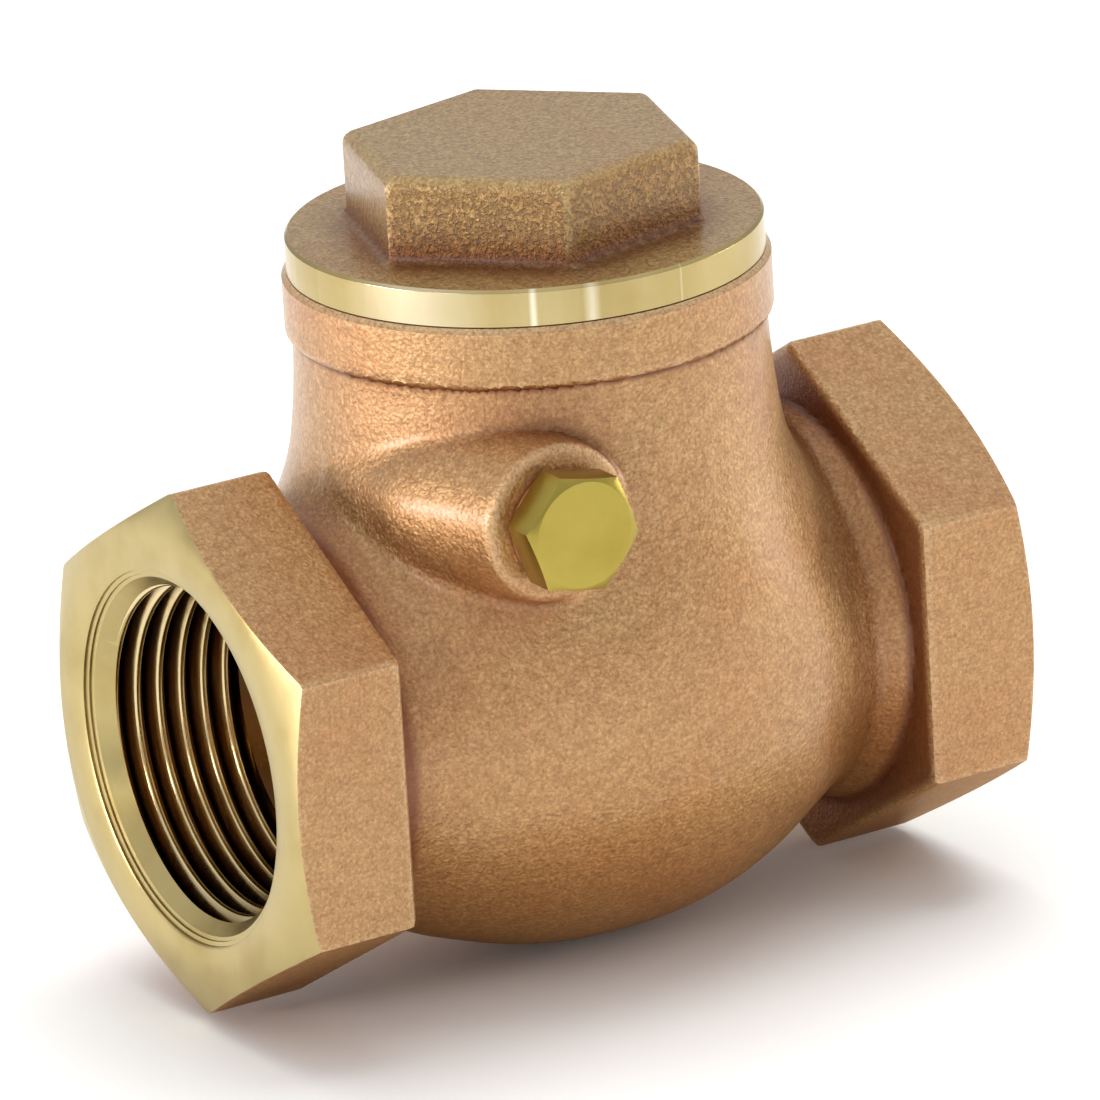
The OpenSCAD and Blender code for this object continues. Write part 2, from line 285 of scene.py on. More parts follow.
def hanger_casting(x, y, z):
    """The disc hanger as cast: knuckle, arm and eye in one flowing piece."""
    off_axis = distance(x - HINGE_X, z - HINGE_Z)
    knuckle = prism(off_axis - 3.95, y, HANGER_HIGH[1] - 0.03, 0.5)
    back = HANGER_HIGH[0] - 0.02
    front = back - HANGER_PLATE
    plate_mid, plate_half = (front + back) / 2, (back - front) / 2
    top = np.maximum(z - HINGE_Z - 2.2, -z)
    outline = np.maximum(np.abs(y) - through_points(z, ARM), top)
    arm = prism(outline, x - plate_mid, plate_half, 0.7)
    eye = prism(distance(y, z) - 6.45, x - plate_mid, plate_half, 0.5)
    shape = smooth_union(smooth_union(arm, eye, 1.0), knuckle, 1.4)
    return np.maximum(np.maximum(shape, x - back), np.where(z < 15, front - x, -9.0))


# ---- meshes

def new_object(name, data):
    """An object in the scene that shows a mesh, light or camera."""
    obj = bpy.data.objects.new(name, data)
    bpy.context.scene.collection.objects.link(obj)
    return obj


def mesh_object(name, vertices, faces, material=None):
    """A mesh object from millimetre vertices."""
    mesh = bpy.data.meshes.new(name)
    mesh.from_pydata((np.asarray(vertices, float) / MM).tolist(), [], faces)
    bm = bmesh.new()
    bm.from_mesh(mesh)
    bmesh.ops.recalc_face_normals(bm, faces=bm.faces)
    bm.to_mesh(mesh)
    bm.free()
    if material:
        mesh.materials.append(material)
    return new_object(name, mesh)


def field_gradient(field, points, reach=0.05):
    """Slope of a field at each point."""
    slopes = [(field(*(points + step).T) - field(*(points - step).T)) / (2 * reach)
              for step in reach * np.eye(3)]
    return np.stack(slopes, 1)


def casting_object(name, field, low, high, material, step):
    """Meshes the zero surface of a field with surface nets, then pulls it onto the surface."""
    axes = [np.arange(a - 2 * step, b + 3 * step, step) for a, b in zip(low, high)]
    x, y, z = np.meshgrid(*axes, indexing="ij", sparse=True)
    grid = field(x, y, z)
    inside = grid < 0
    corners = [(i, j, k) for i in (0, 1) for j in (0, 1) for k in (0, 1)]
    n = [len(a) - 1 for a in axes]

    def shifted(values, c):
        return values[c[0]:c[0] + n[0], c[1]:c[1] + n[1], c[2]:c[2] + n[2]]

    filled = sum(shifted(inside, c).astype(np.int8) for c in corners)
    cells = np.argwhere((filled > 0) & (filled < 8))
    total, count = np.zeros((len(cells), 3)), np.zeros(len(cells))
    for a in corners:
        for axis in range(3):
            if a[axis]:
                continue
            b = list(a)
            b[axis] = 1
            fa = grid[tuple((cells + a).T)]
            fb = grid[tuple((cells + b).T)]
            crossed = (fa < 0) != (fb < 0)
            share = np.where(crossed, fa / np.where(crossed, fa - fb, 1), 0)
            spot = (cells + a).astype(float)
            spot[:, axis] += share
            total += spot * crossed[:, None]
            count += crossed
    points = total / count[:, None] * step + [a[0] for a in axes]

    index = -np.ones(n, int)
    index[tuple(cells.T)] = np.arange(len(cells))
    faces = []
    for axis in range(3):
        u, v = (axis + 1) % 3, (axis + 2) % 3
        first = [slice(None)] * 3
        second = [slice(None)] * 3
        first[axis], second[axis] = slice(0, -1), slice(1, None)
        a, b = inside[tuple(first)], inside[tuple(second)]
        spots = np.argwhere(a != b)
        leaving = a[tuple(spots.T)]
        ring = []
        for du, dv in ((1, 1), (0, 1), (0, 0), (1, 0)):
            cell = spots.copy()
            cell[:, u] -= du
            cell[:, v] -= dv
            ring.append(index[tuple(cell.T)])
        quads = np.stack(ring, 1)
        quads[~leaving] = quads[~leaving][:, ::-1]
        faces.append(quads)
    faces = np.concatenate(faces)

    ends = np.concatenate([faces[:, [i, (i + 1) % 4]] for i in range(4)])
    degree = np.bincount(ends[:, 0], minlength=len(points))[:, None]
    for sweep in range(5):
        if sweep:
            mean = np.zeros_like(points)
            np.add.at(mean, ends[:, 0], points[ends[:, 1]])
            points = points + 0.5 * (mean / degree - points)
        for _ in range(2):
            slope = field_gradient(field, points)
            length = np.maximum((slope * slope).sum(1), 0.05)
            move = slope * (field(*points.T) / length)[:, None]
            points = points - np.clip(move, -step, step)
    return mesh_object(name, points, faces.tolist(), material)


def to_line(points, line):
    """Turns (across, up, along) points so that along lies on a line, and moves them."""
    axis, centre = line
    a, b, c = np.asarray(points, float).T
    placed = {"x": (c, a, b), "y": (b, c, a), "z": (a, b, c)}[axis]
    return np.stack(placed, 1) + np.asarray(centre, float)


def rounded(outline, radius):
    """A closed outline with each corner turned into an arc. A point may name its own radius."""
    out, steps = [], 4
    for i, point in enumerate(outline):
        here = np.array(point[:2], float)
        r = point[2] if len(point) > 2 else radius
        before = np.array(outline[i - 1][:2], float) - here
        after = np.array(outline[(i + 1) % len(outline)][:2], float) - here
        la, lb = np.linalg.norm(before), np.linalg.norm(after)
        before, after = before / la, after / lb
        angle = math.acos(np.clip(before @ after, -1, 1))
        cut = min(r / math.tan(angle / 2), la * 0.45, lb * 0.45)
        if r <= 0 or here[0] <= 0 or cut < 1e-4 or angle > 3.1:
            out.append(tuple(here))
            continue
        start, end = here + before * cut, here + after * cut
        for s in range(steps + 1):
            t = s / steps
            out.append(tuple((1 - t) ** 2 * start + 2 * t * (1 - t) * here + t * t * end))
    return out


def band(inner, outer, low, high):
    """Outline of a flat ring, or of a plain bar where inner is 0."""
    return [(inner, low), (outer, low), (outer, high), (inner, high)]


def lathe(name, outline, line, material, segments):
    """A turned solid: a closed outline of (radius, along) points, swept round a line."""
    rings, vertices = [], []
    for r, along in outline:
        if r <= 1e-6:
            rings.append([len(vertices)] * segments)
            vertices.append((0, 0, along))
            continue
        rings.append(list(range(len(vertices), len(vertices) + segments)))
        for s in range(segments):
            angle = 2 * math.pi * s / segments
            vertices.append((r * math.cos(angle), r * math.sin(angle), along))
    faces = []
    for i, ring in enumerate(rings):
        following = rings[(i + 1) % len(rings)]
        if ring[0] == ring[1] and following[0] == following[1]:
            continue
        for s in range(segments):
            t = (s + 1) % segments
            corners = [ring[s], ring[t], following[t], following[s]]
            faces.append(list(dict.fromkeys(corners)))
    return mesh_object(name, to_line(vertices, line), faces, material)


def hex_bar(name, flats, start, end, line, turn, material):
    """A hexagonal bar with its corners at turn degrees."""
    r = flats / math.sqrt(3)
    vertices = []
    for along in (start, end):
        for i in range(6):
            angle = math.radians(turn + 60 * i)
            vertices.append((r * math.cos(angle), r * math.sin(angle), along))
    faces = [[0, 1, 2, 3, 4, 5], [6, 7, 8, 9, 10, 11]]
    faces += [[i, (i + 1) % 6, 6 + (i + 1) % 6, 6 + i] for i in range(6)]
    return mesh_object(name, to_line(vertices, line), faces, material)


def threaded_bar(name, start, end, pitch, crest, depth, line, material, taper=0.0, segments=120):
    """A bar with a real helical thread, round-bottomed. crest is its radius at along = 0."""
    profile = [(0.0, 0.0), (0.06, 0.0), (0.1, 0.011), (0.136, 0.042), (0.16, 0.086),
               (0.47, 1.0), (0.59, 1.0), (0.9, 0.086), (0.924, 0.042), (0.96, 0.011)]
    first = math.floor(start / pitch) - 2
    turns = math.ceil((end - start) / pitch) + 4
    count = len(profile)
    rows = turns * count
    stride = rows + count
    vertices = []
    for i in range(segments):
        angle = 2 * math.pi * i / segments
        for row in range(stride):
            share, height = profile[row % count]
            along = (first + row // count + share + i / segments) * pitch
            r = crest - depth * (1 - height) + taper * along
            vertices.append((r * math.cos(angle), r * math.sin(angle), along))
    faces = []
    for i in range(segments):
        for row in range(rows - 1):
            a, b = i * stride + row, i * stride + row + 1
            if i + 1 < segments:
                c, d = b + stride, a + stride
            else:
                c, d = row + 1 + count, row + count
            faces.append([a, b, c, d])
    obj = mesh_object(name, to_line(vertices, line), faces, material)
    spot = "xyz".index(line[0])
    bm = bmesh.new()
    bm.from_mesh(obj.data)
    bmesh.ops.delete(bm, geom=[v for v in bm.verts if not v.link_faces], context="VERTS")
    for along, side in ((start, -1), (end, 1)):
        place, normal = Vector((0, 0, 0)), Vector((0, 0, 0))
        place[spot] = (along + line[1][spot]) / MM
        normal[spot] = side
        bmesh.ops.bisect_plane(bm, geom=bm.verts[:] + bm.edges[:] + bm.faces[:], dist=1e-7,
                               plane_co=place, plane_no=normal, clear_outer=True)
        rim = [e for e in bm.edges if e.is_boundary
               and all(abs(v.co[spot] - place[spot]) < 1e-6 for v in e.verts)]
        bmesh.ops.edgeloop_fill(bm, edges=rim)
    bmesh.ops.recalc_face_normals(bm, faces=bm.faces)
    bm.to_mesh(obj.data)
    bm.free()
    return obj


def apply_modifiers(obj):
    """Makes an object's mesh what its modifiers make of it."""
    bpy.context.view_layer.update()
    evaluated = obj.evaluated_get(bpy.context.evaluated_depsgraph_get())
    result = bpy.data.meshes.new_from_object(evaluated)
    if not result.polygons:
        raise RuntimeError(f"{obj.modifiers[0].name} left nothing of {obj.name}")
    obj.modifiers.clear()
    obj.data = result


def combine(obj, other, how="DIFFERENCE"):
    """Boolean of obj with another solid, which is used up. Cut faces keep its material."""
    step = obj.modifiers.new(f"{how} with {other.name}", "BOOLEAN")
    step.operation, step.object, step.solver = how, other, "MANIFOLD"
    step.material_mode = "TRANSFER"
    apply_modifiers(obj)
    bpy.data.objects.remove(other)


def machine(obj, name, outline, line, material, segments=144, how="DIFFERENCE"):
    """Takes a turned shape off a piece, or adds it, or keeps only what lies inside it."""
    combine(obj, lathe(name, outline, line, material, segments), how)


def part_twins(mesh):
    """Moves one of two close points by 2 micrometres where their x + y + z agree.

    The Pointiness that shades worn edges takes such a pair for one point, and leaves a speck.
    """
    points = np.empty(len(mesh.vertices) * 3, np.float32)
    mesh.vertices.foreach_get("co", points)
    points = points.reshape(-1, 3)
    for _ in range(2):
        total = points.sum(1)
        order = np.argsort(total, kind="stable")
        for shift in range(1, 16):
            a, b = order[:-shift], order[shift:]
            near = np.square(points[a] - points[b]).sum(1)
            twins = (total[b] - total[a] < 4e-7) & (near < 1.3e-7) & (near > 1e-12)
            points[b[twins], 0] += 2e-6
    mesh.vertices.foreach_set("co", points.ravel())
    mesh.update()


def soften(obj, width):
    """A small real bevel on every edge sharper than 25 degrees."""
    step = obj.modifiers.new("soften", "BEVEL")
    step.width, step.segments = width / MM, 2
    step.limit_method, step.angle_limit = "ANGLE", math.radians(25)
    apply_modifiers(obj)


def stands_for(obj, node, body, edge_angle=32.0):
    """Puts a finished piece in place of its CAD node.

    It is shaded smooth, apart from edges whose faces meet at more than edge_angle.
    """
    mesh = obj.data
    part_twins(mesh)
    mesh.polygons.foreach_set("use_smooth", [True] * len(mesh.polygons))
    mesh.set_sharp_from_angle(angle=math.radians(edge_angle))
    obj.name = mesh.name = f"{node}_detail"
    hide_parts(node)
    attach(obj, body)


# ---- materials

class Nodes:
    """Short forms for building one material's nodes."""

    def __init__(self, name):
        self.material = bpy.data.materials.new(name)
        self.material.use_nodes = True
        self.tree = self.material.node_tree
        self.shader = self.tree.nodes["Principled BSDF"]
        self.place = self.add("ShaderNodeTexCoord").outputs["Object"]

    def add(self, kind, **settings):
        node = self.tree.nodes.new(kind)
        for key, value in settings.items():
            setattr(node, key, value)
        return node

    def link(self, source, socket):
        self.tree.links.new(source, socket)

    def feed(self, socket, value):
        """A number or colour set on a socket, or another node's output linked to it."""
        if isinstance(value, bpy.types.NodeSocket):
            self.link(value, socket)
        else:
            socket.default_value = (*value, 1) if isinstance(value, tuple) else value

    def noise(self, size, detail=4.0, rough=0.5, place=None, stretch=None):
        """Noise with features of about size millimetres, from 0 to 1."""
        node = self.add("ShaderNodeTexNoise")
        node.inputs["Scale"].default_value = MM / size
        node.inputs["Detail"].default_value = detail
        node.inputs["Roughness"].default_value = rough
        source = place or self.place
        if stretch:
            mapping = self.add("ShaderNodeMapping")
            mapping.inputs["Scale"].default_value = stretch
            self.link(source, mapping.inputs["Vector"])
            source = mapping.outputs["Vector"]
        self.link(source, node.inputs["Vector"])
        return node.outputs["Fac"]

    def cells(self, size):
        """Voronoi cells of about size millimetres: (distance, colour)."""
        node = self.add("ShaderNodeTexVoronoi")
        node.inputs["Scale"].default_value = MM / size
        self.link(self.place, node.inputs["Vector"])
        return node.outputs["Distance"], node.outputs["Color"]

    def ramp(self, value, *stops):
        """Colour ramp through (position, colour) stops."""
        node = self.add("ShaderNodeValToRGB")
        ramp = node.color_ramp
        while len(ramp.elements) < len(stops):
            ramp.elements.new(0.5)
        for element, (position, colour) in zip(ramp.elements, stops):
            element.position = position
            element.color = (*colour, 1)
        self.link(value, node.inputs["Fac"])
        return node.outputs["Color"]

    def span(self, value, low, high, to_low=0.0, to_high=1.0):
        """Maps a value from one span to another, held at the ends."""
        node = self.add("ShaderNodeMapRange")
        self.link(value, node.inputs["Value"])
        for socket, number in zip(("From Min", "From Max", "To Min", "To Max"),
                                  (low, high, to_low, to_high)):
            node.inputs[socket].default_value = number
        return node.outputs["Result"]

    def math(self, how, a, b=0.0):
        node = self.add("ShaderNodeMath", operation=how)
        self.feed(node.inputs[0], a)
        self.feed(node.inputs[1], b)
        return node.outputs["Value"]

    def times(self, a, b):
        return self.math("MULTIPLY", a, b)

    def mix(self, share, a, b, how="MIX"):
        node = self.add("ShaderNodeMix", data_type="RGBA", blend_type=how)
        self.feed(node.inputs[0], share)
        self.feed(node.inputs[6], a)
        self.feed(node.inputs[7], b)
        return node.outputs[2]

    def bump(self, *layers):
        """Bump layers of (height, depth in millimetres), stacked."""
        normal = None
        for height, depth in layers:
            node = self.add("ShaderNodeBump")
            node.inputs["Distance"].default_value = depth / MM
            self.link(height, node.inputs["Height"])
            if normal:
                self.link(normal, node.inputs["Normal"])
            normal = node.outputs["Normal"]
        self.link(normal, self.shader.inputs["Normal"])

    def set(self, **values):
        for key, value in values.items():
            self.feed(self.shader.inputs[key.replace("_", " ")], value)
        return self.material

    def split(self, source):
        """The X, Y and Z of a vector."""
        node = self.add("ShaderNodeSeparateXYZ")
        self.link(source, node.inputs[0])
        return node.outputs

    def on_line(self, value):
        """A value as a place on a line, for noise that varies one way only."""
        node = self.add("ShaderNodeCombineXYZ")
        self.link(value, node.inputs[0])
        return node.outputs[0]

    def radius(self, axis, centre):
        """Distance from an axis, in millimetres."""
        place = self.split(self.place)
        offs = [self.math("SUBTRACT", place[i], centre[i] / MM) for i in range(3)
                if "xyz"[i] != axis]
        root = self.math("SQRT", self.math("ADD", *(self.times(off, off) for off in offs)))
        return self.times(root, MM)

    def along(self, axis):
        """Position along an axis, in millimetres."""
        return self.times(self.split(self.place)[axis.upper()], MM)

    def edges(self):
        """(1 on worn outer edges, 1 in creases, where shade is painted): both 0 on open faces."""
        point = self.add("ShaderNodeNewGeometry").outputs["Pointiness"]
        return self.span(point, 0.515, 0.56), self.span(point, 0.43, 0.485, 1.0, 0.0)

    def hollows(self, reach):
        """Share of the sky that is open within reach millimetres: low in grooves."""
        node = self.add("ShaderNodeAmbientOcclusion", samples=6, only_local=True)
        node.inputs["Distance"].default_value = reach / MM
        return node.outputs["AO"]

    def slope(self):
        """Upward part of the piece's own surface normal, from -1 to 1."""
        return self.split(self.add("ShaderNodeTexCoord").outputs["Normal"])["Z"]

    def upright(self):
        """1 on walls and 0 on faces that look up or down."""
        return self.span(self.math("ABSOLUTE", self.slope()), 0.35, 0.8, 1.0, 0.0)

    def underside(self):
        """1 on faces that look down."""
        return self.span(self.slope(), -0.9, 0.1, 1.0, 0.0)

    def turned(self, centre):
        """Angle round an upright axis, from -0.5 to 0.5 of a turn."""
        place = self.split(self.place)
        dx = self.math("SUBTRACT", place["X"], centre[0] / MM)
        dy = self.math("SUBTRACT", place["Y"], centre[1] / MM)
        return self.math("DIVIDE", self.math("ARCTAN2", dy, dx), 2 * math.pi)


# ---- the materials used

# painted highlights on the bonnet's rim: (degrees round it, width in degrees, strength)
RIM_HIGHLIGHTS = ((-119.5, 1.1, 0.85), (-105.5, 2.2, 0.5), (-149.0, 20.0, 0.4))
RIM_HIGHLIGHT_COLOUR = (1.0, 0.93, 0.72)
# painted shade in creases
CREASE_SHADE = (0.13, 0.045, 0.018)
# painted shade in the corners given to cast_bronze
CORNER_SHADE = (0.26, 0.088, 0.028)
# painted shade on a thread's flanks and in its valleys
FLANK_SHADE, ROOT_SHADE = (0.40, 0.27, 0.125), (0.10, 0.052, 0.022)
# what a cast colour is multiplied by
REDDER_PATCH = (1.0, 0.84, 0.80)
# painted shade on walls
WALL_SHADE = (0.81, 0.70, 0.52)
# painted shade on faces that look down
UNDERSIDE_SHADE = (1.0, 0.90, 0.68)
# painted shade in hollows
HOLLOW_SHADE = (0.55, 0.30, 0.17)
HOLLOW_REACH = 4.5  # millimetres of open air that a cast face needs to get no painted shade


def cast_bronze(name, dark, middle, light, worn, grain=1.0, wall_grain=0.0, corners=()):
    """Sand-cast bronze: packed grains, patchy tarnish and rubbed edges, with painted shade in
    creases, hollows, corners, on walls and under it.

    corners are (axis, station, side, full, reach), where shade is painted into a corner.
    """
    m = Nodes(name)

    def tinted(share, colour, tint):
        return m.mix(share, colour, m.mix(1.0, colour, tint, "MULTIPLY"))

    fine = m.noise(0.30 * grain, detail=2, rough=0.65)
    coarse = m.noise(1.1 * grain, detail=3)
    patch = m.noise(15, detail=3, rough=0.55)
    dots, tint = m.cells(0.46 * grain)
    base = m.ramp(m.mix(0.28, fine, coarse), (0.33, dark), (0.5, middle), (0.68, light))
    base = tinted(m.span(patch, 0.42, 0.66, 0.0, 0.7), base, REDDER_PATCH)
    base = m.mix(m.times(m.span(tint, 0.75, 0.95), 0.20), base, worn)
    pits = m.span(dots, 0.40, 0.72, 0.0, 0.40)
    layers = [(coarse, 0.05), (dots, -0.05), (fine, 0.09)]
    if wall_grain:
        holes = m.span(m.noise(0.50, detail=2, rough=0.6), 0.42, 0.53, 1.0, 0.0)
        holes = m.times(holes, m.upright())
        pits = m.math("MAXIMUM", pits, m.times(holes, wall_grain))
        # painted shade: walls darker than the faces that look up
        base = tinted(m.times(m.upright(), 0.8), base, WALL_SHADE)
        layers.append((holes, -0.08))
    base = m.mix(pits, base, dark)
    # painted shade along each given corner
    for axis, station, side, full, reach in corners:
        off = m.times(m.math("SUBTRACT", m.along(axis), station), side)
        corner_shade = m.times(m.span(off, -0.2, 0.05), m.span(off, full, reach, 0.95, 0.0))
        if wall_grain:
            corner_shade = m.times(corner_shade, m.upright())
        base = m.mix(m.times(corner_shade, m.span(coarse, 0.3, 0.6, 0.75, 1.0)), base, CORNER_SHADE)
    # painted shade on faces that look down
    base = tinted(m.underside(), base, UNDERSIDE_SHADE)
    # painted shade in hollows, from ambient occlusion
    base = tinted(m.span(m.hollows(HOLLOW_REACH), 0.62, 0.96, 0.9, 0.0), base, HOLLOW_SHADE)
    edge, crease = m.edges()
    base = m.mix(m.times(edge, m.span(fine, 0.35, 0.6, 0.2, 0.75)), base, worn)
    # painted shade in the creases
    base = m.mix(m.times(crease, 0.85), base, CREASE_SHADE)
    m.bump(*layers)
    rough = m.span(m.mix(0.5, fine, patch), 0.3, 0.7, 0.40, 0.56)
    return m.set(Base_Color=base, Metallic=0.80, Coat_Weight=0.66, Coat_Roughness=0.26,
                 Roughness=m.math("ADD", rough, m.times(crease, 0.3)))


def machined_brass(name, colour, line=FLOW_LINE, rim=False, rough=0.24, thread_shade=False):
    """Turned brass: fine tool lines round a line, soft smears, and painted highlight streaks on a
    rim.

    A port's thread can have shade painted on its flanks and in its valleys.
    """
    m = Nodes(name)
    across = m.along(line[0]) if rim else m.radius(*line)
    lines = m.noise(0.16, detail=2, place=m.on_line(m.times(across, 1 / MM)))
    smear = m.noise(7, detail=4)
    scratch = m.noise(0.5, detail=4, stretch=(1, 1, 0.15))
    pale = tuple(min(1, c * s) for c, s in zip(colour, (1.07, 1.07, 1.12)))
    dull = tuple(c * s for c, s in zip(colour, (0.87, 0.82, 0.72)))
    base = m.ramp(smear, (0.3, dull), (0.5, colour), (0.7, pale))
    base = m.mix(m.span(lines, 0.3, 0.7, 0.0, 0.14), base, dull)
    if thread_shade:
        x = m.along("x")
        depth = m.math("MINIMUM", x, m.math("SUBTRACT", LENGTH, x))
        height = m.math("ADD", m.radius(*FLOW_LINE), m.times(depth, PORT_TAPER))
        height = m.math("SUBTRACT", height, PORT_CREST_R)
        # painted shade down the thread's flanks and in its valleys
        base = m.mix(m.span(height, 0.25, 0.6), base, FLANK_SHADE)
        base = m.mix(m.span(height, 0.75, 1.3), base, ROOT_SHADE)
    layers = [(lines, 0.006), (scratch, 0.004)]
    if rim:
        angle = m.turned(line[1])
        broad = m.noise(60, detail=1, place=m.on_line(angle))
        thin = m.noise(13, detail=1, place=m.on_line(angle))
        # painted highlight streaks round the rim
        highlight_streak = m.span(thin, 0.66, 0.70, 0.0, 0.6)
        for degrees, width, gain in RIM_HIGHLIGHTS:
            off = m.math("ABSOLUTE", m.math("SUBTRACT", angle, degrees / 360))
            highlight_mark = m.span(off, 0.15 * width / 360, width / 360, gain, 0.0)
            highlight_streak = m.math("MAXIMUM", highlight_streak, highlight_mark)
        base = m.mix(m.span(broad, 0.35, 0.65, 0.0, 0.8), base, dull)
        # painted highlights on the rim
        base = m.mix(highlight_streak, base, RIM_HIGHLIGHT_COLOUR)
        layers.append((thin, 0.03))
    m.bump(*layers)
    rough = m.span(m.mix(0.5, smear, scratch), 0.3, 0.7, rough - 0.05, rough + 0.08)
    return m.set(Base_Color=base, Metallic=1.0, Roughness=rough)


def seal_material(name, colour, fibre):
    """A soft seal: fibre flecks for a gasket, or a waxy skin for a plastic ring."""
    m = Nodes(name)
    fleck = m.noise(0.6, detail=5, rough=0.7, stretch=(1, 3, 1))
    cloud = m.noise(5, detail=3)
    dark = tuple(c * (0.6 if fibre else 0.93) for c in colour)
    pale = tuple(min(1, c * (1.7 if fibre else 1.03)) for c in colour)
    base = m.ramp(m.mix(0.5, fleck, cloud), (0.35, dark), (0.5, colour), (0.66, pale))
    m.bump((fleck, 0.02 if fibre else 0.004))
    low, high = (0.75, 0.9) if fibre else (0.38, 0.5)
    return m.set(Base_Color=base, Metallic=0.0, Roughness=m.span(cloud, 0.3, 0.7, low, high))


def ground_steel(name):
    """Centreless-ground stainless steel: short scratches round the pin."""
    m = Nodes(name)
    rings = m.noise(0.25, detail=3, stretch=(0.1, 1, 0.1))
    cloud = m.noise(4, detail=3)
    base = m.ramp(cloud, (0.3, (0.50, 0.49, 0.47)), (0.7, (0.66, 0.65, 0.63)))
    m.bump((rings, 0.004))
    return m.set(Base_Color=base, Metallic=1.0, Roughness=m.span(rings, 0.3, 0.7, 0.20, 0.34))


# its corners paint shade behind each port's hexagon and under the collar
BODY_CAST = cast_bronze("body_cast_bronze", (0.36, 0.185, 0.070), (0.555, 0.323, 0.132),
                        (0.72, 0.457, 0.218), (0.80, 0.56, 0.31),
                        corners=(("x", HEX_LENGTH, 1, 1.8, 2.8),
                                 ("x", LENGTH - HEX_LENGTH, -1, 0.3, 0.9),
                                 ("z", COLLAR_Z, -1, 0.15, 0.5)))
# its corners paint shade round the foot of the hexagon head
BONNET_CAST = cast_bronze("bonnet_cast_bronze", (0.25, 0.14, 0.045), (0.515, 0.338, 0.130),
                          (0.65, 0.47, 0.235), (0.72, 0.55, 0.26), 0.95, 0.85,
                          corners=(("z", FLANGE_BOTTOM + FLANGE_H, 1, 0.3, 1.2),))
TRIM_CAST = cast_bronze("trim_cast_bronze", (0.36, 0.20, 0.09), (0.58, 0.37, 0.18),
                        (0.72, 0.50, 0.28), (0.80, 0.60, 0.34), 0.8)
FACE_BRASS = machined_brass("port_face_brass", (0.51, 0.41, 0.18), rough=0.32)
THREAD_BRASS = machined_brass("port_thread_brass", (0.74, 0.60, 0.33), rough=0.15, thread_shade=True)
BORE_BRASS = machined_brass("neck_bore_brass", (0.66, 0.52, 0.27), BONNET_LINE)
RIM_BRASS = machined_brass("bonnet_rim_brass", (0.55, 0.44, 0.20), BONNET_LINE, rim=True,
                           rough=0.20)
PLUG_BRASS = machined_brass("plug_brass", (0.44, 0.345, 0.072), PIN_LINE, rough=0.30)
NUT_BRASS = machined_brass("nut_brass", (0.72, 0.56, 0.27), rough=0.22)
DISC_BRASS = machined_brass("disc_turned_bronze", (0.66, 0.47, 0.26), rough=0.26)
# painted shade: the waterway inside the body is coloured dark
SHADED_WATERWAY_BRASS = machined_brass("shaded_waterway_brass", (0.34, 0.22, 0.10), rough=0.30)
COPPER = machined_brass("washer_copper", (0.45, 0.21, 0.11), PIN_LINE, rough=0.42)
GASKET = seal_material("gasket_fibre", (0.07, 0.07, 0.065), True)
PTFE = seal_material("seat_disc_ptfe", (0.82, 0.81, 0.77), False)
STEEL = ground_steel("hinge_pin_steel")


# ---- body

def end_face(name, at, outward):
    """The cut that turns a port's face flat and takes its hexagon's corners off."""
    reach, inner = 30.0, HEX_FLATS / 2 - 0.15
    back = (reach - inner) * math.tan(HEX_BEVEL)
    outline = [(0, at), (inner, at), (reach, at - outward * back), (reach, at + outward * 6),
               (0, at + outward * 6)]
    return name + "_face", outline, FLOW_LINE, FACE_BRASS


def port_tap(name, at, outward):
    """A port's tapered pipe thread, pointing into the body."""
    tap = threaded_bar(name + "_tap", PORT_THREAD_START, PORT_THREAD_END, PORT_PITCH,
                       PORT_CREST_R + PORT_THREAD_H, PORT_THREAD_H, FLOW_LINE,
                       THREAD_BRASS, taper=-PORT_TAPER)
    if outward > 0:
        tap.data.transform(Matrix.Rotation(math.pi, 4, "Z"))
    tap.data.transform(Matrix.Translation((at / MM, 0, 0)))
    return tap


def port_mouth(name, at, outward):
    """The cut that makes the stepped countersink in front of a port's thread."""
    steps = [(0, -1.5), (MOUTH_R + 1.7, -1.5), (MOUTH_R + 0.12, 0.0), (MOUTH_R - 0.15, 0.15),
             (MOUTH_R - 0.18, 0.4), (MOUTH_R - 0.55, 0.5), (MOUTH_R - 0.58, 0.72),
             (MOUTH_R - 0.9, 0.82), (PORT_CREST_R, 2.3), (0, 2.3)]
    mouth = [(r, at - outward * deep) for r, deep in steps]
    return name + "_mouth", mouth, FLOW_LINE, FACE_BRASS


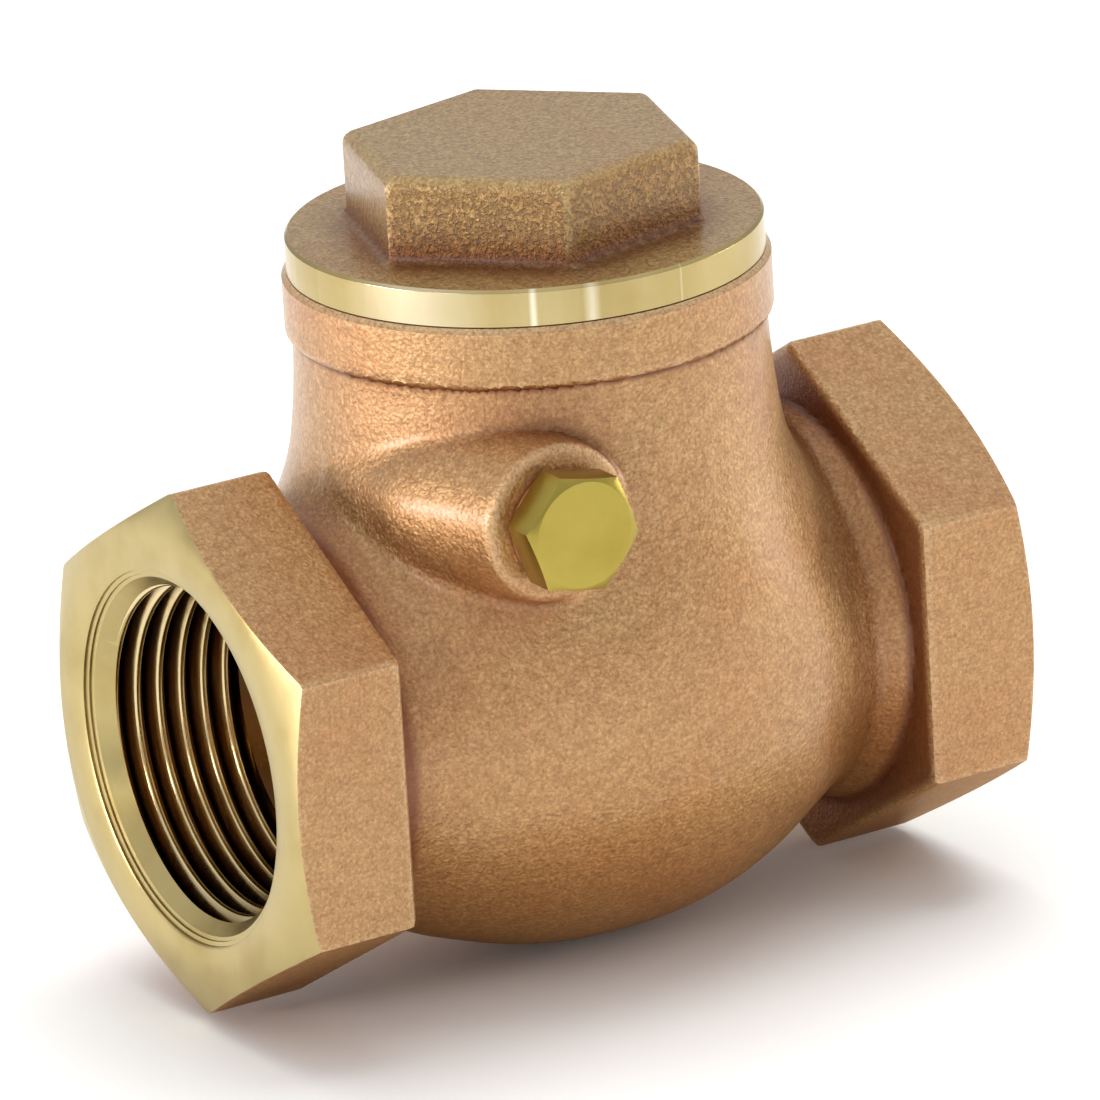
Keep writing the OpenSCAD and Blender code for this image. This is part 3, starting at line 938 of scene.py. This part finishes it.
def make_body():
    """The body: casting first, then every cut that machining makes in it."""
    low = (-HEX_SPARE, -BELLY_R - 0.5, -BELLY_R - 0.5)
    high = (LENGTH + HEX_SPARE, BELLY_R + 0.5, NECK_TOP + 1.5)
    body = casting_object("body_cast", body_casting, low, high, BODY_CAST, BODY_GRID)
    ports = (("inlet", 0, -1), ("outlet", LENGTH, 1))
    for port in ports:
        machine(body, *end_face(*port), 180)
    for port in ports:
        combine(body, port_tap(*port))
        machine(body, *port_mouth(*port), 180)

    waterway = [(0, 10), (PORT_CREST_R - 0.5, 10), (PORT_CREST_R - 0.75, 17.0),
                (SEAT_BORE_R, 20.2), (SEAT_BORE_R, SEAT_X - 0.3),
                (SEAT_BORE_R + 0.5, SEAT_X + 0.2), (SEAT_BORE_R + 0.5, SEAT_X + 1),
                (0, SEAT_X + 1)]
    machine(body, "waterway", waterway, FLOW_LINE, SHADED_WATERWAY_BRASS)
    facing = band(0, SEAT_R + 0.9, SEAT_X, SEAT_X + 1.2)
    machine(body, "seat_facing", facing, FLOW_LINE, DISC_BRASS)
    deep, shallow = LENGTH - 20.5, LENGTH - 14.2
    run_out = [(0, deep), (RUN_OUT_R - 0.2, deep), (RUN_OUT_R + 0.15, shallow), (0, shallow)]
    machine(body, "outlet_run_out", run_out, FLOW_LINE, SHADED_WATERWAY_BRASS)

    top = [(0, NECK_TOP), (COLLAR_R - 0.45, NECK_TOP), (COLLAR_R + 3, NECK_TOP - 3.45),
           (COLLAR_R + 3, NECK_TOP + 8), (0, NECK_TOP + 8)]
    machine(body, "neck_face", top, BONNET_LINE, BODY_CAST, 180)
    recess = band(0, RECESS_R, GASKET_LOW[2], NECK_TOP + 1)
    machine(body, "gasket_recess", recess, BONNET_LINE, BORE_BRASS)
    combine(body, threaded_bar("neck_tap", 27.5, NECK_TOP + 0.5, CAP_PITCH, NECK_TAP_R,
                               NECK_TAP_H, BONNET_LINE, BORE_BRASS))

    hole_r = PIN_R + LUG_GAP
    pin_hole = [(0, -20), (hole_r, -20), (hole_r, PIN_HIGH[1] + 0.2), (0, PIN_HIGH[1] + 0.8)]
    machine(body, "pin_hole", pin_hole, PIN_LINE, THREAD_BRASS, 48)
    combine(body, threaded_bar("plug_tap", -BOSS_Y - 2, PLUG_HIGH[1] + 0.2, PLUG_PITCH,
                               PLUG_TAP_R, PLUG_THREAD_H, PIN_LINE, THREAD_BRASS, segments=48))
    stands_for(body, "body", "valve_body")


# ---- bonnet and its gasket

def make_bonnet():
    """The bonnet: cast cap, turned rim and a screwed skirt that meshes with the neck."""
    low = (AXIS_X - FLANGE_R - 1.2, -FLANGE_R - 1.2, SKIRT_BOTTOM)
    high = (AXIS_X + FLANGE_R + 1.2, FLANGE_R + 1.2, BONNET_TOP)
    bonnet = casting_object("bonnet_cast", bonnet_casting, low, high, BONNET_CAST, BONNET_GRID)
    top = FLANGE_BOTTOM + FLANGE_H
    rim = rounded([(FLANGE_R, FLANGE_BOTTOM - 3, 0), (FLANGE_R, top - 0.25, 0.1),
                   (FLANGE_R - 0.5, top + 0.25, 0), (FLANGE_R - 0.5, top + 3, 0),
                   (FLANGE_R + 4, top + 3, 0), (FLANGE_R + 4, FLANGE_BOTTOM - 3, 0)], 0)
    machine(bonnet, "rim", rim, BONNET_LINE, RIM_BRASS, 240)
    under = [(0, SKIRT_BOTTOM - 2), (24, SKIRT_BOTTOM - 2), (24, FLANGE_BOTTOM + 0.25),
             (FLANGE_R - 0.25, FLANGE_BOTTOM), (16.6, FLANGE_BOTTOM), (16.6, SKIRT_BOTTOM - 1),
             (0, SKIRT_BOTTOM - 1)]
    machine(bonnet, "under_flange", under, BONNET_LINE, RIM_BRASS, 240)
    skirt = threaded_bar("skirt", SKIRT_BOTTOM, FLANGE_BOTTOM - 1.3, CAP_PITCH, CAP_THREAD_R,
                         CAP_THREAD_H, BONNET_LINE, RIM_BRASS)
    ends = rounded([(0, SKIRT_BOTTOM, 0), (17.0, SKIRT_BOTTOM), (18.3, SKIRT_BOTTOM + 1.3),
                    (18.3, FLANGE_BOTTOM), (0, FLANGE_BOTTOM, 0)], 0.1)
    machine(skirt, "skirt_ends", ends, BONNET_LINE, RIM_BRASS, 180, "INTERSECT")
    combine(bonnet, skirt, "UNION")
    undercut = band(0, UNDERCUT_R, FLANGE_BOTTOM - 2, FLANGE_BOTTOM + 0.5)
    machine(bonnet, "undercut", undercut, BONNET_LINE, RIM_BRASS, how="UNION")
    bore = [(0, SKIRT_BOTTOM - 1), (SKIRT_BORE_R + 0.8, SKIRT_BOTTOM - 1),
            (SKIRT_BORE_R, SKIRT_BOTTOM + 0.6), (SKIRT_BORE_R, FLANGE_BOTTOM + 1),
            (0, FLANGE_BOTTOM + 1)]
    machine(bonnet, "skirt_bore", bore, BONNET_LINE, RIM_BRASS)
    stands_for(bonnet, "bonnet", "cap")

    ring = rounded(band(GASKET_BORE_R, GASKET_R, GASKET_LOW[2], GASKET_HIGH[2]), 0.15)
    gasket = lathe("gasket", ring, BONNET_LINE, GASKET, 144)
    stands_for(gasket, "bonnet_gasket", "bonnet_seal", 60)


# ---- side plug, washer and pin

def make_plug():
    """The side plug, its copper washer and the hinge pin behind it."""
    head, seat, end = PLUG_LOW[1], WASHER_LOW[1], PLUG_HIGH[1]
    plug = hex_bar("plug_head", PLUG_FLATS, head, seat, PIN_LINE, PLUG_TURN, PLUG_BRASS)
    r = PLUG_FLATS / 2
    shape = [(0, head, 0), (r - 0.25, head), (r + 2.2, head + 0.95), (r + 2.2, seat - 0.9),
             (r + 0.1, seat), (0, seat, 0)]
    machine(plug, "plug_bevel", rounded(shape, 0.12), PIN_LINE, PLUG_BRASS, 96, "INTERSECT")
    soften(plug, 0.14)
    shank = threaded_bar("plug_shank", seat - 0.5, end, PLUG_PITCH, PLUG_THREAD_R,
                         PLUG_THREAD_H, PIN_LINE, PLUG_BRASS, segments=64)
    taper = [(0, seat - 2, 0), (4.4, seat - 2, 0), (4.4, end - 0.8), (3.3, end), (0, end, 0)]
    machine(shank, "plug_end", rounded(taper, 0.1), PIN_LINE, PLUG_BRASS, 64, "INTERSECT")
    combine(plug, shank, "UNION")
    stands_for(plug, "side_plug", "plug", 22)

    ring = rounded(band(WASHER_BORE_R, WASHER_R, seat + 0.01, -BOSS_Y - 0.01), 0.14)
    washer = lathe("washer", ring, PIN_LINE, COPPER, 96)
    stands_for(washer, "plug_washer", "plug_seal", 60)

    near, far = PIN_LOW[1], PIN_HIGH[1]
    outline = [(0, near, 0), (PIN_R - 0.45, near), (PIN_R, near + 0.45), (PIN_R, far - 0.45),
               (PIN_R - 0.45, far), (0, far, 0)]
    pin = lathe("pin", rounded(outline, 0.2), PIN_LINE, STEEL, 64)
    stands_for(pin, "hinge_pin", "pin", 40)


# ---- hanger and disc

def hex_nut(name, node, flats, bore):
    """A chamfered hexagon nut with a countersunk hole, along the flow."""
    low, high = mm_box(node)
    start, end, r = low[0], high[0], flats / 2
    nut = hex_bar(name, flats, start, end, FLOW_LINE, 0, NUT_BRASS)
    shape = [(0, start, 0), (r - 0.15, start), (r + 1.2, start + 0.75), (r + 1.2, end - 0.75),
             (r - 0.15, end), (0, end, 0)]
    machine(nut, "bevel", rounded(shape, 0.1), FLOW_LINE, NUT_BRASS, 96, "INTERSECT")
    soften(nut, 0.12)
    hole = [(0, start - 1), (bore + 1.4, start - 1), (bore, start + 0.4), (bore, end - 0.4),
            (bore + 1.4, end + 1), (0, end + 1)]
    machine(nut, "hole", hole, FLOW_LINE, NUT_BRASS, 64)
    stands_for(nut, node, "disc", 22)


def flat_ring(node, inner, material, edge):
    """A flat ring round the flow axis, its edges broken."""
    low, high = mm_box(node)
    outline = rounded(band(inner, high[1], low[0], high[0]), edge)
    ring = lathe(node + "_ring", outline, FLOW_LINE, material, 128)
    stands_for(ring, node, "disc", 60)


def make_clapper():
    """The hanger and everything its eye carries."""
    hanger = casting_object("hanger_cast", hanger_casting, HANGER_LOW, HANGER_HIGH, TRIM_CAST,
                            HANGER_GRID)
    bore = band(0, PIN_R + KNUCKLE_GAP, -12, 12)
    machine(hanger, "knuckle_bore", bore, PIN_LINE, NUT_BRASS, 64)
    back = HANGER_HIGH[0]
    eye = [(0, back - 5), (5.6, back - 5), (EYE_BORE_R, back - 2.6), (EYE_BORE_R, back - 0.4),
           (5.2, back + 1), (0, back + 1)]
    machine(hanger, "eye_bore", eye, FLOW_LINE, NUT_BRASS, 96)
    stands_for(hanger, "disc_hanger", "clapper")

    front, rear = HOLDER_LOW[0], HOLDER_HIGH[0]
    face, floor_x, plate = SEAT_DISC_LOW[0], SEAT_DISC_HIGH[0], HANGER_HIGH[0] - 3.15
    washer_x = mm_box("hanger_washer")[0][0]
    rim, pocket = HOLDER_HIGH[1], SEAT_DISC_HIGH[1] + 0.1
    outline = [
        (0, front, 0), (STUD_R - 0.4, front), (STUD_R, front + 0.4), (STUD_R, floor_x, 0.05),
        (pocket, floor_x, 0.05), (pocket, face + 0.55), (rim, face + 0.55),
        (rim, plate - 0.5, 0.5), (rim - 1.6, plate - 0.05, 0.4), (7.2, plate - 0.05, 0.5),
        (6.8, plate, 0.2), (4, plate, 0.1), (4, washer_x), (STEM_R, washer_x, 0.05),
        (STEM_R, rear - 0.5), (STEM_R - 0.5, rear), (0, rear, 0),
    ]
    holder = lathe("holder", rounded(outline, 0.15), FLOW_LINE, DISC_BRASS, 144)
    stands_for(holder, "disc_holder", "disc", 40)
    flat_ring("seat_disc", STUD_R + 0.05, PTFE, 0.25)
    flat_ring("seat_disc_washer", STUD_R + 0.05, NUT_BRASS, 0.2)
    flat_ring("hanger_washer", STEM_R + 0.05, NUT_BRASS, 0.15)
    hex_nut("seat_nut", "seat_disc_nut", 8.0, STUD_R + 0.02)
    hex_nut("stem_nut", "hanger_nut", 10.0, STEM_R + 0.02)


# ---- studio and camera

# name, place, width and height in metres, watts, colour, and whether the metal mirrors it
LIGHTS = (
    ("key", (-0.92, 0.18, 0.09), 0.42, 0.16, 4.2, (1.0, 0.90, 0.95), True),
    ("glint", (-0.80, -0.30, 0.28), 0.26, 0.20, 0.8, (1, 1, 1), True),
    ("kicker", (0.92, -0.22, 0.12), 0.30, 0.20, 1.2, (1.0, 0.99, 0.97), True),
    ("floor_flood", (0.25, 0.25, 1.1), 1.2, 1.2, 12.5, (1, 1, 1), False),
)
FLOOR_REACH = 3000.0
SKY_STRENGTH = 0.85
SHADE_X, SHADE_Y = 44, 40  # half the length and width of the dark sheet under the belly that paints shade into reflections


def softbox(name, place, width, height, watts, tint, mirrored, target):
    """A large rectangular area light that looks at the target."""
    light = bpy.data.lights.new(name, "AREA")
    light.shape, light.size, light.size_y = "RECTANGLE", width, height
    light.energy, light.color = watts, tint
    obj = new_object(name, light)
    obj.location = place
    look = Vector(target) - Vector(place)
    obj.rotation_mode = "QUATERNION"
    obj.rotation_quaternion = look.to_track_quat("-Z", "Y")
    obj.visible_glossy = mirrored


def make_studio(centre):
    """A pale floor, a soft sky and the lights."""
    r = FLOOR_REACH
    floor = mesh_object("floor", [(-r, -r, 0), (r, -r, 0), (r, r, 0), (-r, r, 0)], [[0, 1, 2, 3]])
    floor.location = (centre[0], 0, cad_bounds[0][2] - 0.0002)
    m = Nodes("studio_floor")
    cloud = m.noise(180, detail=3)
    floor.data.materials.append(m.set(
        Base_Color=m.ramp(cloud, (0.3, (0.89, 0.89, 0.885)), (0.7, (0.92, 0.92, 0.915))),
        Roughness=m.span(cloud, 0.3, 0.7, 0.7, 0.85)))

    world = bpy.data.worlds.new("studio_sky")
    bpy.context.scene.world = world
    world.use_nodes = True
    tree = world.node_tree
    split = tree.nodes.new("ShaderNodeSeparateXYZ")
    tree.links.new(tree.nodes.new("ShaderNodeTexCoord").outputs["Generated"], split.inputs[0])
    sky = tree.nodes.new("ShaderNodeValToRGB")
    for element, (place, grey) in zip(sky.color_ramp.elements, ((0.2, 0.58), (0.8, 0.95))):
        element.position, element.color = place, (grey, grey, grey, 1)
    tree.links.new(split.outputs["Z"], sky.inputs["Fac"])
    tree.links.new(sky.outputs["Color"], tree.nodes["Background"].inputs["Color"])
    tree.nodes["Background"].inputs["Strength"].default_value = SKY_STRENGTH

    for light in LIGHTS:
        softbox(*light, centre)

    # a dark sheet seen only in reflections: painted shade that keeps the belly's underside brown
    turns = np.linspace(0, 2 * math.pi, 49)[:-1]
    ring = [(SHADE_X * math.cos(a), SHADE_Y * math.sin(a), 0) for a in turns]
    shade = mesh_object("ground_shade", ring, [list(range(48))])
    shade.location = (centre[0] + 0.008, 0, cad_bounds[0][2] - 0.0001)
    dark = Nodes("ground_shade")
    brown = dark.ramp(dark.noise(60), (0.3, (0.46, 0.34, 0.22)), (0.7, (0.54, 0.42, 0.30)))
    shade.data.materials.append(dark.set(Base_Color=brown, Roughness=0.9))
    shade.visible_camera = shade.visible_shadow = shade.visible_diffuse = False


CAMERA_TURN = 59.53  # degrees from +X to the way the camera looks, seen from above
CAMERA_DROP = 18.91  # degrees it looks down
CAMERA_ROLL = -3.47
CAMERA_REACH = 0.9128  # metres to the point where the port and bonnet axes cross
CAMERA_RIGHT = 0.00054  # metres it stands off to the right
CAMERA_UP = 0.00995  # and up
CAMERA_LENS = 335.7


def make_camera():
    """The camera at the photograph's angle, framed on the crossing of the two axes."""
    turn, drop, roll = (math.radians(a) for a in (CAMERA_TURN, CAMERA_DROP, CAMERA_ROLL))
    look = Vector((math.cos(turn) * math.cos(drop), math.sin(turn) * math.cos(drop),
                   -math.sin(drop)))
    level = Vector((math.sin(turn), -math.cos(turn), 0))
    rise = level.cross(look)
    right = level * math.cos(roll) + rise * math.sin(roll)
    up = rise * math.cos(roll) - level * math.sin(roll)
    place = (Vector((AXIS_X / MM, 0, 0)) - look * CAMERA_REACH + level * CAMERA_RIGHT
             + rise * CAMERA_UP)
    data = bpy.data.cameras.new("camera")
    data.lens, data.sensor_width, data.clip_start = CAMERA_LENS, 36.0, 0.05
    camera = new_object("camera", data)
    turned = Matrix((right, up, -look)).transposed().to_4x4()
    camera.matrix_world = Matrix.Translation(place) @ turned
    bpy.context.scene.camera = camera


make_camera()
make_body()
make_bonnet()
make_plug()
make_clapper()
make_studio((AXIS_X / MM, 0, 0.012))
bpy.context.scene.view_settings.view_transform = "Standard"
